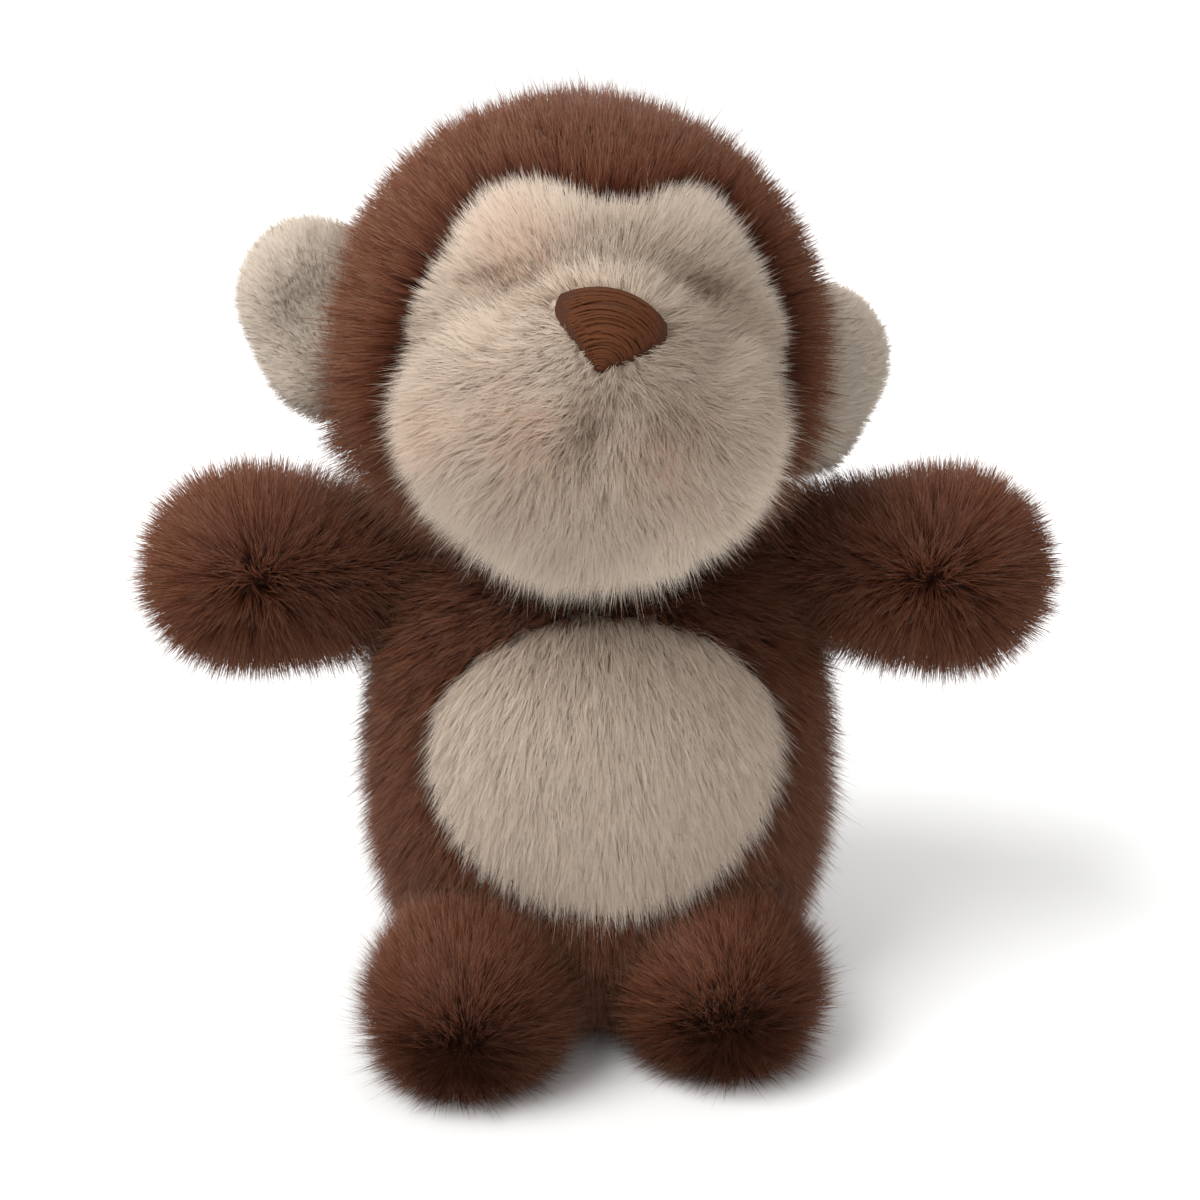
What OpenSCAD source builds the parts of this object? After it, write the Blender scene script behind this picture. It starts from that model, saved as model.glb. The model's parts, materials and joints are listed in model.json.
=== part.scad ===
// Seated stuffed monkey, sewn from long-pile fur panels round fibre stuffing.
// Millimetres, +Z up, the face looks along -Y. The origin is the middle of the flat seat.
// "left" is the -X side and "right" is the +X side, as seen from in front.

/* [Torso] */
// Radius of the torso at its widest
torso_r = 39.5; // [32:0.5:50]
// Height from the seat to the neck opening
torso_h = 85; // [70:1:110]
// How square the torso's outline is, where 2 is an ellipse
torso_swell = 2.7; // [2.3:0.1:3.2]
// Half width of the belly patch
belly_w = 29; // [20:0.5:31]
// Half height of the belly patch
belly_h = 25; // [18:0.5:28]
// Height of the belly patch's middle above the seat
belly_z = 58.5; // [48:0.5:60]

/* [Head] */
// Radius of the head
head_r = 37.5; // [30:0.5:46]
// Radius of the neck ball that the head turns on
neck_r = 15; // [12:0.5:18]
// How far the face looks up, in degrees
head_up = 18; // [0:1:25]
// How far the head leans to the right, in degrees
head_lean = 7; // [0:1:9]
// How far the face is turned to the right, in degrees
head_turn = 4; // [0:1:10]
// How far the neck seam lies behind the head's middle
neck_back = 14; // [6:0.5:20]
// How far the neck seam lies to the right of the head's middle
neck_side = 8.5; // [0:0.5:12]
// Half angle of the cream face as seen from the head's middle
face_angle = 57; // [52:1:66]
// How far the middle of the face lies below straight ahead, in degrees
face_dip = 23; // [5:1:24]
// How far the middle of the face lies to the right of straight ahead, in degrees
face_side = 1; // [0:1:8]
// Width of the embroidered nose
nose_w = 19; // [12:0.5:22]
// Height of the embroidered nose
nose_h = 14; // [9:0.5:16]

/* [Ears] */
// Radius of the ear's round upper part
ear_r = 13.5; // [9:0.5:16]
// Thickness of a stuffed ear
ear_t = 9; // [6:0.5:10]
// How far the right ear is sewn below the left one
right_ear_drop = 3; // [0:0.5:5]
// How far the right ear is folded back, in degrees
right_ear_back = 22; // [0:1:30]

/* [Arms] */
// Length from the shoulder to the tip
arm_len = 46.5; // [35:0.5:60]
// Radius of an arm at its rounded tip
arm_tip_r = 14; // [10:0.5:16]
// Radius of an arm at the shoulder
arm_root_r = 9; // [7:0.5:9.5]
// How far the pair of arms is turned, left one back and right one forward, in degrees
arm_turn = 6; // [0:1:10]

/* [Legs] */
// Radius of a foot
foot_r = 15.5; // [12:0.5:18.5]
// How far a sole is pressed flat
sole_press = 2; // [1:0.5:4]
// Distance from the left hip to the middle of its foot
left_reach = 13; // [7:0.5:14]
// Distance from the right hip to the middle of its foot
right_reach = 8; // [7:0.5:14]
// How far the left foot points outwards, in degrees
left_toe_out = 25; // [0:1:30]
// How far the right foot points outwards, in degrees
right_toe_out = 3; // [0:1:30]
// Radius of the leg's root ball
leg_root_r = 11; // [9:0.5:11.5]

/* [Fabric] */
// Thickness of a fur panel with its pile pressed flat
panel_t = 3; // [2:0.25:4]
// Thickness of the short-pile ear fabric
ear_panel_t = 1.8; // [1:0.1:2.4]
// Thickness of the seam allowance turned in at a limb's root
allowance_t = 1.2; // [0.8:0.1:1.6]

/* [Hidden] */

left = -1;
right = 1;
upper = 1;
lower = -1;
far = 300;
gap = 0.4; // between pieces that move against each other
nest = 0.1; // between stuffing and the panel round it
$fn = 96;

// Torso: a body of revolution with a superellipse outline, cut flat at both ends.
torso_mid = torso_h * 0.518;
torso_half = torso_h * 0.588;
torso_steps = 14;
base_seam = panel_t + 1; // height of the seam round the base
ball_step = 12; // largest turn between two points of a ball's outline, in degrees

function torso_at(z, inset = 0) = (torso_r - inset)
    * pow(1 - pow(abs(z - torso_mid) / (torso_half - inset), torso_swell), 1 / torso_swell);

// Neck: three nested cups and a ball share one centre, so they turn without touching.
neck = [0, 0, torso_h + 1];
neck_cup_1 = neck_r + gap;
neck_cup_2 = neck_cup_1 + allowance_t + gap;
neck_socket = neck_cup_2 + allowance_t + gap;
head_reach = head_r + 5.3;
head_neck = [neck_side, neck_back, -sqrt(pow(head_reach, 2) - pow(neck_side, 2) - pow(neck_back, 2))];

// Shoulders and hips lie on the torso's surface.
shoulder_z = torso_h - 3.5;
shoulder_out = 2.6;
shoulder_x = torso_at(shoulder_z) + shoulder_out;
shoulder_socket = arm_root_r + 6.2;
hip_z = foot_r - sole_press;
hip_x = foot_r + 4.5;
hip_y = -sqrt(pow(torso_at(hip_z), 2) - pow(hip_x, 2));
leg_play = 32; // a foot's swing that its socket leaves room for, in degrees

function reach_of(side) = side == left ? left_reach : right_reach;
function toe_out_of(side) = side == left ? left_toe_out : right_toe_out;
function hip_socket(reach) = reach * sin(leg_play)
    + sqrt(pow(foot_r, 2) - pow(reach * cos(leg_play), 2)) + gap;

// Muzzle: one skin round four balls, each as [centre, radius] in the head's frame.
bridge = [0, -33, -7];
bridge_r = 15;
muzzle_balls = [
    [bridge, bridge_r],
    [[-11.5, -22, -17], 19.5],
    [[11.5, -22, -17], 19.5],
    [[0, -20, -23], 18]
];
muzzle_scale = head_r / 37.5;
nose_t = 1.6;
nose_corner = 3;
nose_rise = 4; // height of the nose's middle above the bridge's middle
tuck_len = 6; // the stitch under the nose that pulls the groove in
tuck_gap = 0.5;
stitch_r = 0.6;

// Ears hang on an upright root cylinder that nearly touches the head.
ear_root_r = 4;
ear_axis_x = head_r + gap + ear_root_r + 0.1;
ear_y = 4;
ear_z = -1.5;
ear_swell = 2.4;

fur_brown = "#5e3a2d";
fur_cream = "#d2bfa6";
ear_cream = "#d9c9b4";
nose_brown = "#7d4523";
fibre_white = "#f2efe8";
thread_brown = "#4a2c20";

// ---- shared shapes ----

// A ball turned so that its own seam lies off the seams of the toy.
module ball(radius) {
    rotate([0, 0, 45]) sphere(radius);
}

module half(axis, side) {
    move = [for (i = [0:2]) i == axis ? side * far / 2 : 0];
    intersection() {
        children();
        translate(move) cube(far, center = true);
    }
}

module above(z) {
    intersection() {
        children();
        translate([0, 0, z + far / 2]) cube(far, center = true);
    }
}

// A round-ended limb along +Z: a root ball, a cone and a tip ball in one outline.
function limb_outline(root, tip, reach) =
    let (lean = asin((tip - root) / reach), top = 90 + lean)
    concat(
        [for (i = [0:4]) let (a = 180 + (top - 180) * i / 4) [root * sin(a), root * cos(a)]],
        [for (i = [0:7]) let (a = top * (1 - i / 7)) [tip * sin(a), reach + tip * cos(a)]]
    );

// Two overlapping balls along +Z, the first one at the origin, in one outline.
function pair_outline(first, second, reach) =
    let (
        join = (pow(reach, 2) + pow(first, 2) - pow(second, 2)) / (2 * reach),
        a1 = acos(join / first),
        a2 = acos((join - reach) / second),
        n1 = ceil((180 - a1) / ball_step),
        n2 = ceil(a2 / ball_step)
    )
    concat(
        [for (i = [0:n1]) let (a = 180 + (a1 - 180) * i / n1) [first * sin(a), first * cos(a)]],
        [for (i = [1:n2]) let (a = a2 * (1 - i / n2)) [second * sin(a), reach + second * cos(a)]]
    );

module ball_pair(first, second, reach) {
    rotate([0, 0, 45]) rotate_extrude() polygon(pair_outline(first, second, reach));
}

module limb(root, tip, reach) {
    rotate([0, 0, 45]) rotate_extrude() polygon(limb_outline(root, tip, reach));
}

// The seam allowance at a limb's root: a shallow cup on the inner side of its ball.
module root_cup(radius) {
    difference() {
        intersection() {
            ball(radius + allowance_t);
            translate([0, 0, -radius * 0.62 - far / 2]) cube(far, center = true);
        }
        ball(radius);
    }
}

// ---- torso ----

module torso_body(inset) {
    low = inset;
    high = torso_h - inset;
    rise = (high - low) / torso_steps;
    rotate([0, 0, 45]) rotate_extrude() polygon(concat(
        [[0, low]],
        [for (i = [0:torso_steps]) [torso_at(low + rise * i, inset), low + rise * i]],
        [[0, high]]
    ));
}

module torso_sockets(extra = 0) {
    translate(neck) ball(neck_socket + extra);
    for (side = [left, right]) {
        translate([side * shoulder_x, 0, shoulder_z]) ball(shoulder_socket + extra);
        translate([side * hip_x, hip_y, hip_z])
            ball(hip_socket(reach_of(side)) + extra);
    }
}

module torso_cover() {
    difference() {
        torso_body(0);
        torso_body(panel_t);
        torso_sockets();
    }
}

module belly_outline() {
    translate([0, 0, belly_z]) rotate([90, 0, 0]) linear_extrude(far)
        polygon([for (a = [0:10:350]) [belly_w * cos(a), belly_h * sin(a)]]);
}

module torso_front() {
    color(fur_brown) difference() {
        half(1, lower) above(base_seam) torso_cover();
        belly_outline();
    }
}

module belly_patch() {
    color(fur_cream) intersection() {
        half(1, lower) above(base_seam) torso_cover();
        belly_outline();
    }
}

module torso_back(side) {
    color(fur_brown) half(0, side) half(1, upper) above(base_seam) torso_cover();
}

module torso_base() {
    color(fur_brown) difference() {
        torso_cover();
        translate([0, 0, base_seam + far / 2]) cube(far, center = true);
    }
}

pellet_r = 17;
pellet_h = 16;
pellet_y = 4;

module pellet_bag() {
    color(fibre_white) translate([0, pellet_y, panel_t + 1]) rotate_extrude() polygon([
        [0, 0], [pellet_r - 4, 0], [pellet_r, 4], [pellet_r, pellet_h - 5],
        [pellet_r - 5, pellet_h], [0, pellet_h]
    ]);
}

module torso_stuffing() {
    color(fibre_white) difference() {
        torso_body(panel_t + nest);
        torso_sockets(nest);
        translate([0, pellet_y, panel_t]) cylinder(r = pellet_r + nest, h = pellet_h + 1 + nest);
    }
}

stitch_count = 7;
stitch_pitch = 4;
stitch_len = 5;

module back_closing_stitches() {
    color(thread_brown) for (i = [0:stitch_count - 1]) {
        z = 30 + i * stitch_pitch;
        translate([0, torso_at(z) + stitch_r + 0.2, z])
            rotate([0, i % 2 == 0 ? 80 : 100, 0])
            cylinder(r = stitch_r, h = stitch_len, center = true, $fn = 24);
    }
}

label_w = 12;
label_out = 10.5; // how far the label reaches past the torso's widest
label_t = 0.8;
label_z = 9;

module blank_label_tab() {
    reach = torso_r + label_out;
    color(fibre_white) rotate([90, 0, 90]) linear_extrude(label_t, center = true) polygon(concat(
        [for (i = [0:4]) let (z = label_z + label_w * i / 4) [torso_at(z) + stitch_r, z]],
        [[reach, label_z + label_w], [reach, label_z]]
    ));
}

// ---- neck ----

module neck_seam_allowance() {
    color(fur_brown) translate(neck) root_cup(neck_cup_2);
}

module neck_gather_thread() {
    color(thread_brown) translate(neck) root_cup(neck_cup_1);
}

// ---- head ----

module on_head() {
    translate(neck) rotate([-head_up, head_lean, head_turn]) translate(-head_neck) children();
}

module head_body(inset) {
    rotate([0, acos(head_neck[2] / head_reach), atan2(neck_back, neck_side)])
        ball_pair(head_r - inset, neck_r - inset, head_reach);
}

module face_region() {
    reach = head_r * cos(face_angle);
    rotate([90 + face_dip, 0, face_side]) translate([0, 0, reach + far / 2]) cube(far, center = true);
}

module muzzle_body(inset) {
    scale(muzzle_scale) hull() for (puff = muzzle_balls) {
        translate(puff[0]) sphere(puff[1] - inset / muzzle_scale, $fn = 32);
    }
}

module head_side(side) {
    color(fur_brown) half_head(side) difference() {
        head_body(0);
        head_body(panel_t);
        face_region();
        muzzle_body(0);
    }
}

module half_head(side) {
    on_head() half(0, side) children();
}

module face_mask() {
    color(fur_cream) on_head() difference() {
        intersection() {
            head_body(0);
            face_region();
        }
        head_body(panel_t);
        muzzle_body(0);
    }
}

module muzzle() {
    color(fur_cream) on_head() difference() {
        muzzle_body(0);
        muzzle_body(panel_t);
        head_body(panel_t);
    }
}

module muzzle_stuffing() {
    color(fibre_white) on_head() difference() {
        muzzle_body(panel_t + nest);
        head_body(panel_t);
    }
}

module head_stuffing() {
    color(fibre_white) on_head() head_body(panel_t + nest);
}

// A thin layer that lies on the muzzle's skin, clear of the head.
module on_muzzle(thick) {
    difference() {
        muzzle_body(-nest - thick);
        muzzle_body(-nest);
        head_body(-nest);
    }
}

module nose_embroidery() {
    drop = nose_h / 2 - nose_corner;
    wide = nose_w / 2 - nose_corner;
    color(nose_brown) on_head() intersection() {
        on_muzzle(nose_t);
        scale(muzzle_scale) translate([0, bridge[1], bridge[2] + nose_rise]) rotate([90, 0, 0])
            linear_extrude(bridge_r * 2) hull() {
                translate([-wide, drop]) circle(nose_corner, $fn = 24);
                translate([wide, drop]) circle(nose_corner, $fn = 24);
                translate([0, -drop]) circle(nose_corner, $fn = 24);
            }
    }
}

module muzzle_tuck_stitch() {
    low_end = bridge[2] + nose_rise - nose_h / 2 - tuck_len - tuck_gap;
    color(thread_brown) on_head() intersection() {
        on_muzzle(stitch_r * 2);
        scale(muzzle_scale) translate([-stitch_r, bridge[1] - far, low_end])
            cube([stitch_r * 2, far, tuck_len]);
    }
}

// ---- ears ----

module on_ear(side) {
    on_head() translate([side * ear_axis_x, ear_y, ear_z - (side == right ? right_ear_drop : 0)])
        rotate([0, 0, side == right ? right_ear_back : 0])
        mirror([side == left ? 1 : 0, 0, 0]) children();
}

// A round pillow lying in the XZ plane.
module pillow(radius, thick) {
    steps = 7;
    rotate([90, 0, 0]) rotate_extrude() polygon(concat(
        [for (i = [0:steps]) let (a = 90 - 90 * i / steps)
            [radius * sin(90 - a), thick / 2 * pow(sin(a), 2 / ear_swell)]],
        [for (i = [steps - 1:-1:0]) let (a = 90 - 90 * i / steps)
            [radius * sin(90 - a), -thick / 2 * pow(sin(a), 2 / ear_swell)]]
    ));
}

module ear_body(inset) {
    half(0, right) union() {
        translate([5.5, 0, 3]) pillow(ear_r - inset, ear_t - 2 * inset);
        translate([3, 0, -10]) pillow(ear_r * 0.62 - inset, ear_t * 0.9 - 2 * inset);
    }
    translate([0, 0, -11 + inset]) cylinder(r = ear_root_r - inset, h = 20 - 2 * inset);
}

module ear_panel(side, face) {
    color(ear_cream) on_ear(side) half(1, face) difference() {
        ear_body(0);
        ear_body(ear_panel_t);
    }
}

module ear_wadding(side) {
    color(fibre_white) on_ear(side) ear_body(ear_panel_t + nest);
}

// ---- arms ----

module on_arm(side) {
    translate([side * shoulder_x, 0, shoulder_z]) rotate([0, 0, -arm_turn])
        rotate([0, side * 90, 0]) children();
}

module arm_body(inset) {
    limb(arm_root_r - inset, arm_tip_r - inset, arm_len - arm_tip_r);
}

module arm_panel(side, face) {
    color(fur_brown) on_arm(side) half(1, face) difference() {
        arm_body(0);
        arm_body(panel_t);
    }
}

module arm_stuffing(side) {
    color(fibre_white) on_arm(side) arm_body(panel_t + nest);
}

module arm_root_gather(side) {
    color(fur_brown) on_arm(side) root_cup(arm_root_r + gap);
}

// ---- legs ----

module on_leg(side) {
    translate([side * hip_x, hip_y, hip_z]) rotate([0, 0, side * toe_out_of(side)])
        rotate([90, 0, 0]) children();
}

module leg_body(side, inset) {
    intersection() {
        ball_pair(leg_root_r - inset, foot_r - inset, reach_of(side));
        translate([0, far / 2 - hip_z + inset, 0]) cube(far, center = true);
    }
}

module leg_cover(side) {
    difference() {
        leg_body(side, 0);
        leg_body(side, panel_t);
    }
}

sole_split = 0.35; // height of the sole's seam as a share of the hip's height

module leg_upper(side) {
    color(fur_brown) on_leg(side) intersection() {
        leg_cover(side);
        translate([0, far / 2 - hip_z * (1 - sole_split), 0]) cube(far, center = true);
    }
}

module leg_sole(side) {
    color(fur_brown) on_leg(side) difference() {
        leg_cover(side);
        translate([0, far / 2 - hip_z * (1 - sole_split), 0]) cube(far, center = true);
    }
}

module leg_stuffing(side) {
    color(fibre_white) on_leg(side) leg_body(side, panel_t + nest);
}

module leg_root_gather(side) {
    color(fur_brown) on_leg(side) root_cup(leg_root_r + gap);
}

torso_front();
belly_patch();
torso_back(left);  // torso_back_left
torso_back(right);  // torso_back_right
torso_base();
torso_stuffing();
pellet_bag();
back_closing_stitches();
blank_label_tab();
neck_seam_allowance();
neck_gather_thread();
head_side(left);  // head_side_left
head_side(right);  // head_side_right
face_mask();
muzzle();
muzzle_tuck_stitch();
nose_embroidery();
head_stuffing();
muzzle_stuffing();
ear_panel(left, lower);  // ear_left_front
ear_panel(left, upper);  // ear_left_back
ear_wadding(left);  // ear_left_wadding
ear_panel(right, lower);  // ear_right_front
ear_panel(right, upper);  // ear_right_back
ear_wadding(right);  // ear_right_wadding
arm_panel(left, lower);  // arm_left_front
arm_panel(left, upper);  // arm_left_back
arm_stuffing(left);  // arm_left_stuffing
arm_root_gather(left);  // arm_left_root_gather
arm_panel(right, lower);  // arm_right_front
arm_panel(right, upper);  // arm_right_back
arm_stuffing(right);  // arm_right_stuffing
arm_root_gather(right);  // arm_right_root_gather
leg_upper(left);  // leg_left_upper
leg_sole(left);  // leg_left_sole
leg_stuffing(left);  // leg_left_stuffing
leg_root_gather(left);  // leg_left_root_gather
leg_upper(right);  // leg_right_upper
leg_sole(right);  // leg_right_sole
leg_stuffing(right);  // leg_right_stuffing
leg_root_gather(right);  // leg_right_root_gather
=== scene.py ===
# %% [markdown]
# # A small sitting monkey in long soft fur
# The toy is sewn from fur panels round loose fibre. Its joints, sizes and hard facts come from the packed
# model. This lesson adds what a maker would add: plumped cloth, combed pile, a stitched nose and a label.

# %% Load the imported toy
import json
import math

import bmesh
import bpy
import numpy as np
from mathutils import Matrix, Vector


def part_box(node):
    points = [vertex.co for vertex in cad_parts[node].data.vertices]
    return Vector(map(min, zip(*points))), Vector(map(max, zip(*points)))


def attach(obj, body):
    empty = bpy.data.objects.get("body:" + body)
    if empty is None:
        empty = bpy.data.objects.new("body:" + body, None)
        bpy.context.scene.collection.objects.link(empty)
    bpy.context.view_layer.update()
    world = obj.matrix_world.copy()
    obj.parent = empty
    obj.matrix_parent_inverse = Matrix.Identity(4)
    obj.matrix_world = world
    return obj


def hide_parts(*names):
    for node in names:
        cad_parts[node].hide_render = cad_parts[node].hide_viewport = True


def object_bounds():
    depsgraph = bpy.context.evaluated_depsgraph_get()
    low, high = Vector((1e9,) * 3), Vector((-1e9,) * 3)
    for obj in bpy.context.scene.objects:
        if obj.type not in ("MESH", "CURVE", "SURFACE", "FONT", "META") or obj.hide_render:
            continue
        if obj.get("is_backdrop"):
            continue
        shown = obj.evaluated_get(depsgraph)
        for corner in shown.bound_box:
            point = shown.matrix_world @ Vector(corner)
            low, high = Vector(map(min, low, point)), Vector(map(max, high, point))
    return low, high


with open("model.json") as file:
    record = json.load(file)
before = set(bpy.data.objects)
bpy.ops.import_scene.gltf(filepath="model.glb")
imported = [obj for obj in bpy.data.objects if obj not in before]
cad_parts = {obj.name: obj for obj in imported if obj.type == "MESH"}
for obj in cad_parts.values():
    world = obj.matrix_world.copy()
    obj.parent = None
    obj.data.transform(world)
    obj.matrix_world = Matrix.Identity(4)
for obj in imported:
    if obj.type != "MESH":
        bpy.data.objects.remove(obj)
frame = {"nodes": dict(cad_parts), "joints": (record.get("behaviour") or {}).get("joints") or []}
cad_low, cad_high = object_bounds()
MM = 0.001

# %% [markdown]
# ## Camera
# The camera stands a little above the toy and looks down at its belly, as one looks at a toy on a table.
# It could be placed by hand. Turning a distance and two angles into a place keeps the aim exact.

# %% Camera
SIGHT_TURN = math.radians(-3)
SIGHT_DROP = math.radians(22)
SIGHT_DISTANCE = 0.430
SIGHT_LENS = 68
sight_target = Vector((0.0005, 0, 0.075))
sight = Vector((
    -math.sin(SIGHT_TURN) * math.cos(SIGHT_DROP),
    math.cos(SIGHT_TURN) * math.cos(SIGHT_DROP),
    -math.sin(SIGHT_DROP),
))
camera = bpy.data.objects.new("camera", bpy.data.cameras.new("camera"))
camera.data.lens = SIGHT_LENS
camera.data.clip_start = 0.01
camera.location = sight_target - sight * SIGHT_DISTANCE
camera.rotation_mode = "QUATERNION"
camera.rotation_quaternion = sight.to_track_quat("-Z", "Y")
scene = bpy.context.scene
scene.collection.objects.link(camera)
scene.camera = camera
print("camera at", [round(x, 3) for x in camera.location])

# %% [markdown]
# ## Light
# Fur shows its depth when broad light grazes it from one side and a pale room fills the rest. A small
# lamp would make hard black gaps between the fibres, so the main light is as wide as a window and the
# others are large soft panels.

# %% Light
ROOM_GLOW = 0.62
scene.view_settings.view_transform = "Standard"
room = bpy.data.worlds.new("pale_room")
room.use_nodes = True
room.node_tree.nodes["Background"].inputs["Color"].default_value = (1.0, 0.99, 0.97, 1)
room.node_tree.nodes["Background"].inputs["Strength"].default_value = ROOM_GLOW
scene.world = room


def soft_lamp(name, place, width, power):
    """A square lamp that faces the middle of the toy."""
    data = bpy.data.lights.new(name, "AREA")
    data.size = width
    data.energy = power
    lamp = bpy.data.objects.new(name, data)
    lamp.location = place
    lamp.rotation_mode = "QUATERNION"
    lamp.rotation_quaternion = (sight_target - Vector(place)).to_track_quat("-Z", "Y")
    scene.collection.objects.link(lamp)
    return lamp


WINDOW_POWER = 3.1
WINDOW_WIDTH = math.radians(40)
WINDOW_WAY = Vector((0.62, 0.30, -0.90))
window_data = bpy.data.lights.new("window", "SUN")
window_data.energy = WINDOW_POWER
window_data.angle = WINDOW_WIDTH
window = bpy.data.objects.new("window", window_data)
window.rotation_mode = "QUATERNION"
window.rotation_quaternion = WINDOW_WAY.to_track_quat("-Z", "Y")
scene.collection.objects.link(window)
soft_lamp("fill_lamp", (0.60, -0.45, 0.30), 0.50, 0.5)
soft_lamp("back_lamp", (0.10, 0.60, 0.50), 0.50, 3.0)
print("lamps: 3")

# %% [markdown]
# ## Pieces of the toy
# Every visible piece is a mesh that rides on one body of the toy and has one material slot. Most pieces also
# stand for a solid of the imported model. Saying all that in one call keeps a piece from being half declared.


# %% A piece
def piece_of(name, data, finish, body, solid=None):
    """An object from mesh data, on a body, standing for a solid where one is named."""
    data.materials.append(finish)
    piece = bpy.data.objects.new(name, data)
    scene.collection.objects.link(piece)
    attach(piece, body)
    if solid:
        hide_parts(solid)
    return piece


def sheet_mesh(name, points, faces):
    """Mesh data from points in millimetres."""
    data = bpy.data.meshes.new(name)
    data.from_pydata((points * MM).tolist(), [], faces)
    return data


def grid_faces(rows, columns):
    """The quads of a grid whose points are listed row by row."""
    starts = [row * columns + k for row in range(rows - 1) for k in range(columns - 1)]
    return [[a, a + 1, a + columns + 1, a + columns] for a in starts]


print("pieces ready")

# %% [markdown]
# ## A short way to write finishes
# A finish is a small network of nodes. Clicking them together hides the arithmetic, so a wire here is an
# object that knows plus, minus and times, and each sum adds its own Math node.


# %% Wires and finishes
class Wire:
    """One value inside a finish. Sums of wires add Math nodes."""

    def __init__(self, finish, socket):
        self.finish = finish
        self.socket = socket

    def sum(self, operation, *values):
        inputs = dict(enumerate(values))
        return self.finish.node("Math", {"operation": operation}, inputs)

    def __add__(self, other):
        return self.sum("ADD", self, other)

    def __sub__(self, other):
        return self.sum("SUBTRACT", self, other)

    def __rsub__(self, other):
        return self.sum("SUBTRACT", other, self)

    def __mul__(self, other):
        return self.sum("MULTIPLY", self, other)

    __radd__ = __add__
    __rmul__ = __mul__


class Finish:
    """A material that is built from nodes."""

    def __init__(self, name):
        self.material = bpy.data.materials.new(name)
        self.material.use_nodes = True
        self.tree = self.material.node_tree
        self.tree.nodes.clear()

    def node(self, kind, settings=None, inputs=None, output=0):
        made = self.tree.nodes.new("ShaderNode" + kind)
        for key, value in (settings or {}).items():
            if key == "stops":
                fill_ramp(made.color_ramp, value)
            else:
                setattr(made, key, value)
        for key, value in (inputs or {}).items():
            if isinstance(value, Wire):
                self.tree.links.new(value.socket, made.inputs[key])
            else:
                made.inputs[key].default_value = value
        return Wire(self, made.outputs[output])

    def blend(self, share, first, second, mode="MIX"):
        """Two colours mixed. The sockets 6 and 7 are the Mix node's colours."""
        settings = {"data_type": "RGBA", "blend_type": mode}
        return self.node("Mix", settings, {0: share, 6: first, 7: second}, 2)

    def show(self, surface):
        out = self.tree.nodes.new("ShaderNodeOutputMaterial")
        self.tree.links.new(surface.socket, out.inputs["Surface"])
        return self.material


def fill_ramp(ramp, stops):
    """Stops are (place, colour) pairs."""
    while len(ramp.elements) > 1:
        ramp.elements.remove(ramp.elements[-1])
    ramp.elements[0].position = stops[0][0]
    ramp.elements[0].color = (*stops[0][1], 1)
    for place, colour in stops[1:]:
        ramp.elements.new(place).color = (*colour, 1)


print("wires ready")


# %% [markdown]
# ## Places on the toy
# The head leans, so everything on it is easier to shape straight and then turn into place. A place is an
# origin with three directions. The joints already say where the neck, ears, shoulders and hips are.


# %% Places from the joints
class Place:
    """An origin and three directions, in millimetres."""

    def __init__(self, origin, across, back, up):
        self.origin = np.array(origin, float)
        self.axes = np.array([across, back, up], float)

    def inward(self, points):
        return (points - self.origin) @ self.axes.T

    def outward(self, points):
        return points @ self.axes + self.origin

    def spot(self, across, back, up):
        """One point of the place, as a point of the toy."""
        return self.outward(np.array([[across, back, up]], float))[0]


def unit(vectors):
    length = np.linalg.norm(vectors, axis=-1, keepdims=True)
    return vectors / np.maximum(length, 1e-9)


joints = {j["name"]: j for j in frame["joints"]}
UP = np.array([0.0, 0.0, 1.0])


def joint_at(name):
    return np.array(joints[name]["pos_m"]) / MM


def joint_axis(name):
    return unit(np.array(joints[name]["axis"], float))


EAR_BACK = 4.0
EAR_LOW = 3.0
head_up = joint_axis("ear_left_flop")
ear_gap = joint_at("ear_right_flop") - joint_at("ear_left_flop")
head_across = unit(ear_gap - head_up * (ear_gap @ head_up))
head_back = np.cross(head_up, head_across)
between_ears = (joint_at("ear_right_flop") + joint_at("ear_left_flop")) / 2
head_middle = between_ears - EAR_BACK * head_back + EAR_LOW * head_up
head = Place(head_middle, head_across, head_back, head_up)
neck = joint_at("head_turn")
print("head middle", head_middle.round(1), "looks along", (-head_back).round(2))

# %% [markdown]
# ## Limbs and ears
# A limb could be placed by angles of its own. Its two joints already say where it starts and which way it
# points, so its place comes from them, and the limb stays on its joint if the joint is moved. The right ear
# is folded back a little from the head's own directions.

# %% Limbs and ears
sides = {"left": -1, "right": 1}


def limb_place(joint, back):
    """A limb points along its own third direction, away from its joint. Its panels meet across back."""
    along = np.cross(UP, joint_axis(joint))
    flat = unit(back - along * (along @ back))
    return Place(joint_at(joint), np.cross(flat, along), flat, along)


BACK = np.array([0.0, 1.0, 0.0])
arms = {s: limb_place(f"arm_{s}_raise", BACK) for s in sides}
legs = {s: limb_place(f"leg_{s}_lift", UP) for s in sides}
RIGHT_EAR_FOLD = math.radians(22)
ears = {"left": Place(joint_at("ear_left_flop"), -head_across, head_back, head_up)}
folded_across = head_across * math.cos(RIGHT_EAR_FOLD) + head_back * math.sin(RIGHT_EAR_FOLD)
folded_back = head_back * math.cos(RIGHT_EAR_FOLD) - head_across * math.sin(RIGHT_EAR_FOLD)
ears["right"] = Place(joint_at("ear_right_flop"), folded_across, folded_back, head_up)
print("arms along", {s: p.axes[2].round(2).tolist() for s, p in arms.items()})

# %% [markdown]
# ## Stuffed forms
# Every stuffed pocket is a round closed form. It could be cut from spheres and joined. A distance function
# is shorter: it says how far any point is from the surface, and soft minimums melt two balls into one skin.


# %% Distances
def length(vectors):
    return np.sqrt((vectors * vectors).sum(-1))


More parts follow.
